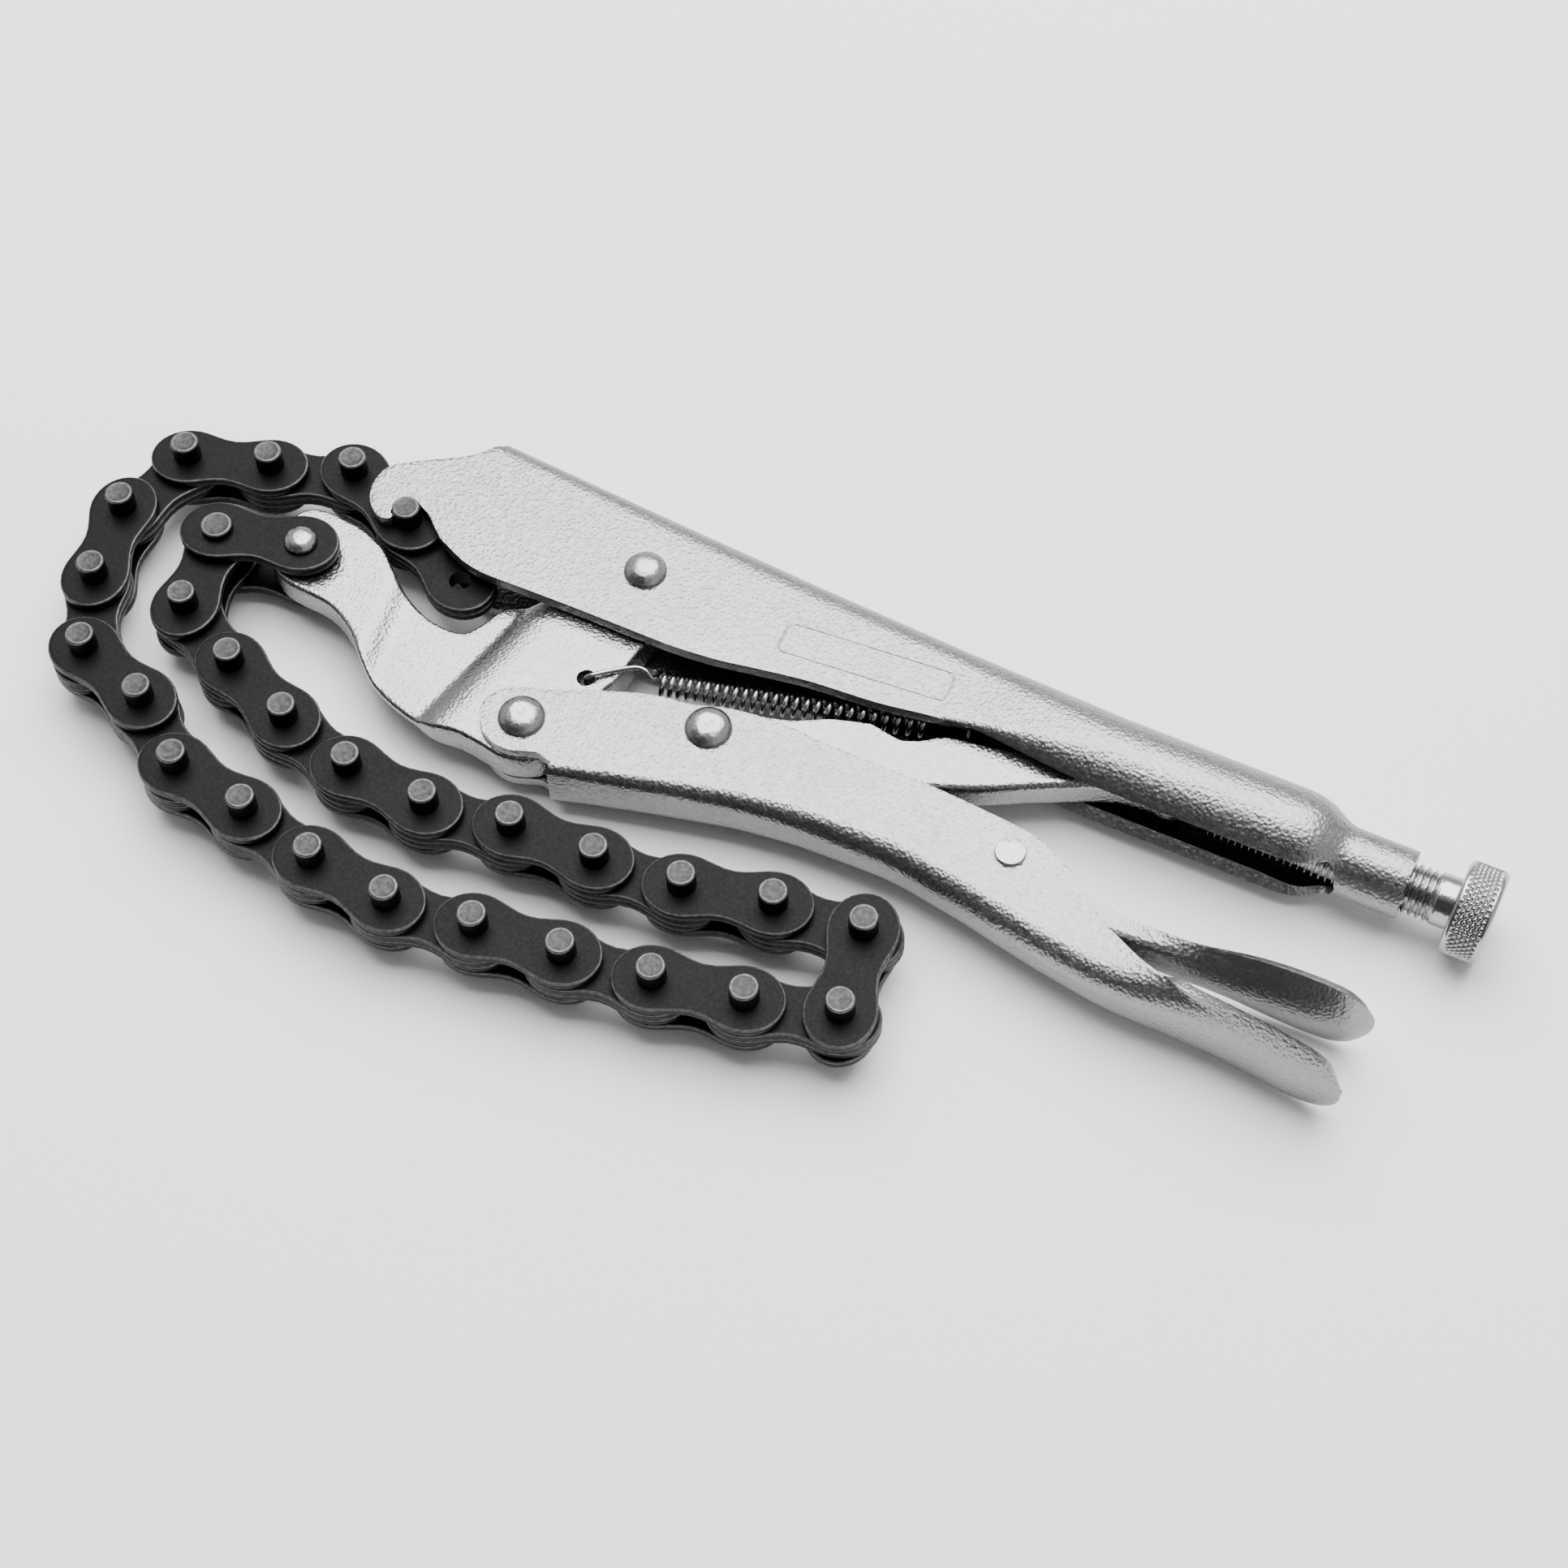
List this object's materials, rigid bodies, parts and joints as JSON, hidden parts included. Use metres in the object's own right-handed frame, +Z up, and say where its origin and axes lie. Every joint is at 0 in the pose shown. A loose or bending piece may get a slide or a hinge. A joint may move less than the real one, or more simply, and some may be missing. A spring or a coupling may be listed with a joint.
{
  "type": "chain clamp",
  "caption": "Locking pliers with over-centre handles, an adjusting screw, a release lever and a leaf chain that loops from the jaw to a notch in the nose.",
  "frame": {"origin": "middle of the underside of the whole tool lying flat on its side, chain included", "axes": "+X along the adjusting screw towards its knob, +Y from the lower handle to the upper handle's spine, +Z up out of the flat side"},
  "size_m": [0.2612, 0.1006, 0.0186],
  "materials": {
    "plated_steel": "satin",
    "rivet_steel": "satin",
    "spring_steel": "satin",
    "chain_steel": "black oxide, satin"
  },
  "bodies": {
    "upper_handle": {"upper_handle": "plated_steel", "jaw_pivot_rivet": "rivet_steel", "return_spring": "spring_steel"},
    "jaw": {"jaw": "plated_steel", "chain_anchor_rivet": "rivet_steel"},
    "lower_handle": {"lower_handle": "plated_steel", "handle_pivot_rivet": "rivet_steel", "link_pivot_rivet": "rivet_steel", "lever_pivot_pin": "rivet_steel"},
    "toggle_link": {"toggle_link": "plated_steel"},
    "release_lever": {"release_lever": "plated_steel"},
    "adjusting_screw": {"adjusting_screw": "plated_steel"},
    "adjusting_knob": {"adjusting_knob": "plated_steel"},
    "chain_link_01": {"chain_link_01": "chain_steel"},
    "chain_link_02": {"chain_link_02": "chain_steel"},
    "chain_link_03": {"chain_link_03": "chain_steel"},
    "chain_link_04": {"chain_link_04": "chain_steel"},
    "chain_link_05": {"chain_link_05": "chain_steel"},
    "chain_link_06": {"chain_link_06": "chain_steel"},
    "chain_link_07": {"chain_link_07": "chain_steel"},
    "chain_link_08": {"chain_link_08": "chain_steel"},
    "chain_link_09": {"chain_link_09": "chain_steel"},
    "chain_link_10": {"chain_link_10": "chain_steel"},
    "chain_link_11": {"chain_link_11": "chain_steel"},
    "chain_link_12": {"chain_link_12": "chain_steel"},
    "chain_link_13": {"chain_link_13": "chain_steel"},
    "chain_link_14": {"chain_link_14": "chain_steel"},
    "chain_link_15": {"chain_link_15": "chain_steel"},
    "chain_link_16": {"chain_link_16": "chain_steel"},
    "chain_link_17": {"chain_link_17": "chain_steel"},
    "chain_link_18": {"chain_link_18": "chain_steel"},
    "chain_link_19": {"chain_link_19": "chain_steel"},
    "chain_link_20": {"chain_link_20": "chain_steel"},
    "chain_link_21": {"chain_link_21": "chain_steel"},
    "chain_link_22": {"chain_link_22": "chain_steel"},
    "chain_link_23": {"chain_link_23": "chain_steel"},
    "chain_link_24": {"chain_link_24": "chain_steel"},
    "chain_link_25": {"chain_link_25": "chain_steel"},
    "chain_link_26": {"chain_link_26": "chain_steel"},
    "chain_link_27": {"chain_link_27": "chain_steel"},
    "chain_link_28": {"chain_link_28": "chain_steel"},
    "chain_link_29": {"chain_link_29": "chain_steel"}
  },
  "joints": [
    {"name": "jaw_swing", "type": "hinge", "parent": "upper_handle", "child": "jaw", "pos_m": [-0.02924, 0.03351, 0.0093], "axis": [0, 0, 1], "range_deg": [0, 12], "deforming": ["return_spring"]},
    {"name": "handle_open", "type": "hinge", "parent": "jaw", "child": "lower_handle", "pos_m": [-0.03464, -0.00319, 0.0093], "axis": [0, 0, -1], "range_deg": [0, 45.3]},
    {"name": "link_swing", "type": "hinge", "parent": "lower_handle", "child": "toggle_link", "pos_m": [-0.00414, 0.00861, 0.0093], "axis": [0, 0, 1], "range_deg": [0, 52]},
    {"name": "lever_release", "type": "hinge", "parent": "lower_handle", "child": "release_lever", "pos_m": [0.05316, 0.00781, 0.0093], "axis": [0, 0, -1], "range_deg": [0, 4]},
    {"name": "screw_travel", "type": "slide", "parent": "upper_handle", "child": "adjusting_screw", "axis": [1, 0, 0], "range_m": [0, 0.008]},
    {"name": "knob_turn", "type": "hinge", "parent": "adjusting_screw", "child": "adjusting_knob", "pos_m": [0.12676, 0.03351, 0.0093], "axis": [1, 0, 0], "range_deg": [0, 1920]},
    {"name": "chain_hinge_01", "type": "hinge", "parent": "jaw", "child": "chain_link_01", "pos_m": [-0.08904, 0.01291, 0.0093], "axis": [0, 0, 1], "range_deg": [-4, 0]},
    {"name": "chain_hinge_02", "type": "hinge", "parent": "chain_link_01", "child": "chain_link_02", "pos_m": [-0.10445, 0.00907, 0.0093], "axis": [0, 0, 1], "range_deg": [-25, 0]},
    {"name": "chain_hinge_03", "type": "hinge", "parent": "chain_link_02", "child": "chain_link_03", "pos_m": [-0.1021, -0.00663, 0.0093], "axis": [0, 0, 1], "range_deg": [0, 6]},
    {"name": "chain_hinge_04", "type": "hinge", "parent": "chain_link_03", "child": "chain_link_04", "pos_m": [-0.08796, -0.01384, 0.0093], "axis": [0, 0, 1], "range_deg": [-5, 0]},
    {"name": "chain_hinge_05", "type": "hinge", "parent": "chain_link_04", "child": "chain_link_05", "pos_m": [-0.07324, -0.01978, 0.0093], "axis": [0, 0, 1], "range_deg": [0, 9.75]},
    {"name": "chain_hinge_06", "type": "hinge", "parent": "chain_link_05", "child": "chain_link_06", "pos_m": [-0.0579, -0.02389, 0.0093], "axis": [0, 0, 1], "range_deg": [-5, 0]},
    {"name": "chain_hinge_07", "type": "hinge", "parent": "chain_link_06", "child": "chain_link_07", "pos_m": [-0.04206, -0.02486, 0.0093], "axis": [0, 0, 1], "range_deg": [-3, 0]},
    {"name": "chain_hinge_08", "type": "hinge", "parent": "chain_link_07", "child": "chain_link_08", "pos_m": [-0.02638, -0.02238, 0.0093], "axis": [0, 0, 1], "range_deg": [0, 3]},
    {"name": "chain_hinge_09", "type": "hinge", "parent": "chain_link_08", "child": "chain_link_09", "pos_m": [-0.01051, -0.02196, 0.0093], "axis": [0, 0, 1], "range_deg": [-3, 0]},
    {"name": "chain_hinge_10", "type": "hinge", "parent": "chain_link_09", "child": "chain_link_10", "pos_m": [0.00529, -0.02044, 0.0093], "axis": [0, 0, 1], "range_deg": [0, 3]},
    {"name": "chain_hinge_11", "type": "hinge", "parent": "chain_link_10", "child": "chain_link_11", "pos_m": [0.02079, -0.01701, 0.0093], "axis": [0, 0, 1], "range_deg": [-8.99, 0]},
    {"name": "chain_hinge_12", "type": "hinge", "parent": "chain_link_11", "child": "chain_link_12", "pos_m": [0.03655, -0.01507, 0.0093], "axis": [0, 0, 1], "range_deg": [0, 9]},
    {"name": "chain_hinge_13", "type": "hinge", "parent": "chain_link_12", "child": "chain_link_13", "pos_m": [0.03958, -0.03065, 0.0093], "axis": [0, 0, 1], "range_deg": [0, 3]},
    {"name": "chain_hinge_14", "type": "hinge", "parent": "chain_link_13", "child": "chain_link_14", "pos_m": [0.0244, -0.0353, 0.0093], "axis": [0, 0, 1], "range_deg": [-3, 0]},
    {"name": "chain_hinge_15", "type": "hinge", "parent": "chain_link_14", "child": "chain_link_15", "pos_m": [0.00881, -0.03832, 0.0093], "axis": [0, 0, 1], "range_deg": [-3, 0]},
    {"name": "chain_hinge_16", "type": "hinge", "parent": "chain_link_15", "child": "chain_link_16", "pos_m": [-0.00691, -0.04053, 0.0093], "axis": [0, 0, 1], "range_deg": [-7, 0]},
    {"name": "chain_hinge_17", "type": "hinge", "parent": "chain_link_16", "child": "chain_link_17", "pos_m": [-0.0227, -0.04219, 0.0093], "axis": [0, 0, 1], "range_deg": [0, 9]},
    {"name": "chain_hinge_18", "type": "hinge", "parent": "chain_link_17", "child": "chain_link_18", "pos_m": [-0.03845, -0.04413, 0.0093], "axis": [0, 0, 1], "range_deg": [0, 8]},
    {"name": "chain_hinge_19", "type": "hinge", "parent": "chain_link_18", "child": "chain_link_19", "pos_m": [-0.05424, -0.04247, 0.0093], "axis": [0, 0, 1], "range_deg": [-15.24, 0]},
    {"name": "chain_hinge_20", "type": "hinge", "parent": "chain_link_19", "child": "chain_link_20", "pos_m": [-0.06974, -0.03903, 0.0093], "axis": [0, 0, 1], "range_deg": [0, 7]},
    {"name": "chain_hinge_21", "type": "hinge", "parent": "chain_link_20", "child": "chain_link_21", "pos_m": [-0.08537, -0.03628, 0.0093], "axis": [0, 0, 1], "range_deg": [0, 3]},
    {"name": "chain_hinge_22", "type": "hinge", "parent": "chain_link_21", "child": "chain_link_22", "pos_m": [-0.09838, -0.02717, 0.0093], "axis": [0, 0, 1], "range_deg": [-3, 0]},
    {"name": "chain_hinge_23", "type": "hinge", "parent": "chain_link_22", "child": "chain_link_23", "pos_m": [-0.11343, -0.02213, 0.0093], "axis": [0, 0, 1], "range_deg": [0, 3]},
    {"name": "chain_hinge_24", "type": "hinge", "parent": "chain_link_23", "child": "chain_link_24", "pos_m": [-0.12052, -0.00793, 0.0093], "axis": [0, 0, 1], "range_deg": [-2, 0]},
    {"name": "chain_hinge_25", "type": "hinge", "parent": "chain_link_24", "child": "chain_link_25", "pos_m": [-0.12436, 0.00748, 0.0093], "axis": [0, 0, 1], "range_deg": [0, 8]},
    {"name": "chain_hinge_26", "type": "hinge", "parent": "chain_link_25", "child": "chain_link_26", "pos_m": [-0.11985, 0.0227, 0.0093], "axis": [0, 0, 1], "range_deg": [0, 19]},
    {"name": "chain_hinge_27", "type": "hinge", "parent": "chain_link_26", "child": "chain_link_27", "pos_m": [-0.10467, 0.02734, 0.0093], "axis": [0, 0, 1], "range_deg": [0, 10]},
    {"name": "chain_hinge_28", "type": "hinge", "parent": "chain_link_27", "child": "chain_link_28", "pos_m": [-0.08975, 0.03277, 0.0093], "axis": [0, 0, 1], "range_deg": [-26, 0]},
    {"name": "end_link_swing", "type": "hinge", "parent": "chain_link_28", "child": "chain_link_29", "pos_m": [-0.07498, 0.02695, 0.0093], "axis": [0, 0, 1], "range_deg": [0, 50]}
  ],
  "couplings": [
    {"joint": "jaw_swing", "follows": "handle_open", "ratio": 0.22737},
    {"joint": "link_swing", "follows": "handle_open", "ratio": 1.1148},
    {"joint": "knob_turn", "follows": "screw_travel", "rad_per_m": 4188.8},
    {"joint": "chain_hinge_01", "follows": "handle_open", "ratio": -0.087989},
    {"joint": "chain_hinge_02", "follows": "handle_open", "ratio": -0.54422},
    {"joint": "chain_hinge_03", "follows": "handle_open", "ratio": 0.12914},
    {"joint": "chain_hinge_04", "follows": "chain_hinge_05", "ratio": -0.41961},
    {"joint": "chain_hinge_06", "follows": "chain_hinge_05", "ratio": -0.4875},
    {"joint": "chain_hinge_07", "follows": "chain_hinge_05", "ratio": -0.24476},
    {"joint": "chain_hinge_08", "follows": "chain_hinge_05", "ratio": 0.24205},
    {"joint": "chain_hinge_09", "follows": "chain_hinge_05", "ratio": -0.30554},
    {"joint": "chain_hinge_10", "follows": "chain_hinge_05", "ratio": 0.21546},
    {"joint": "chain_hinge_12", "follows": "chain_hinge_11", "ratio": -0.95058},
    {"joint": "chain_hinge_13", "follows": "chain_hinge_11", "ratio": -0.27343},
    {"joint": "chain_hinge_14", "follows": "chain_hinge_11", "ratio": 0.24433},
    {"joint": "chain_hinge_15", "follows": "chain_hinge_11", "ratio": 0.24438},
    {"joint": "chain_hinge_16", "follows": "chain_hinge_11", "ratio": 0.67422},
    {"joint": "chain_hinge_17", "follows": "chain_hinge_11", "ratio": -0.93893},
    {"joint": "chain_hinge_18", "follows": "chain_hinge_19", "ratio": -0.49545},
    {"joint": "chain_hinge_20", "follows": "chain_hinge_19", "ratio": -0.44105},
    {"joint": "chain_hinge_21", "follows": "chain_hinge_19", "ratio": -0.14144},
    {"joint": "chain_hinge_22", "follows": "chain_hinge_19", "ratio": 0.14423},
    {"joint": "chain_hinge_23", "follows": "chain_hinge_19", "ratio": -0.17953},
    {"joint": "chain_hinge_24", "follows": "chain_hinge_19", "ratio": 0.11337},
    {"joint": "chain_hinge_25", "follows": "handle_open", "ratio": 0.1573},
    {"joint": "chain_hinge_26", "follows": "handle_open", "ratio": 0.41536},
    {"joint": "chain_hinge_27", "follows": "handle_open", "ratio": 0.20467},
    {"joint": "chain_hinge_28", "follows": "handle_open", "ratio": -0.56822}
  ]
}
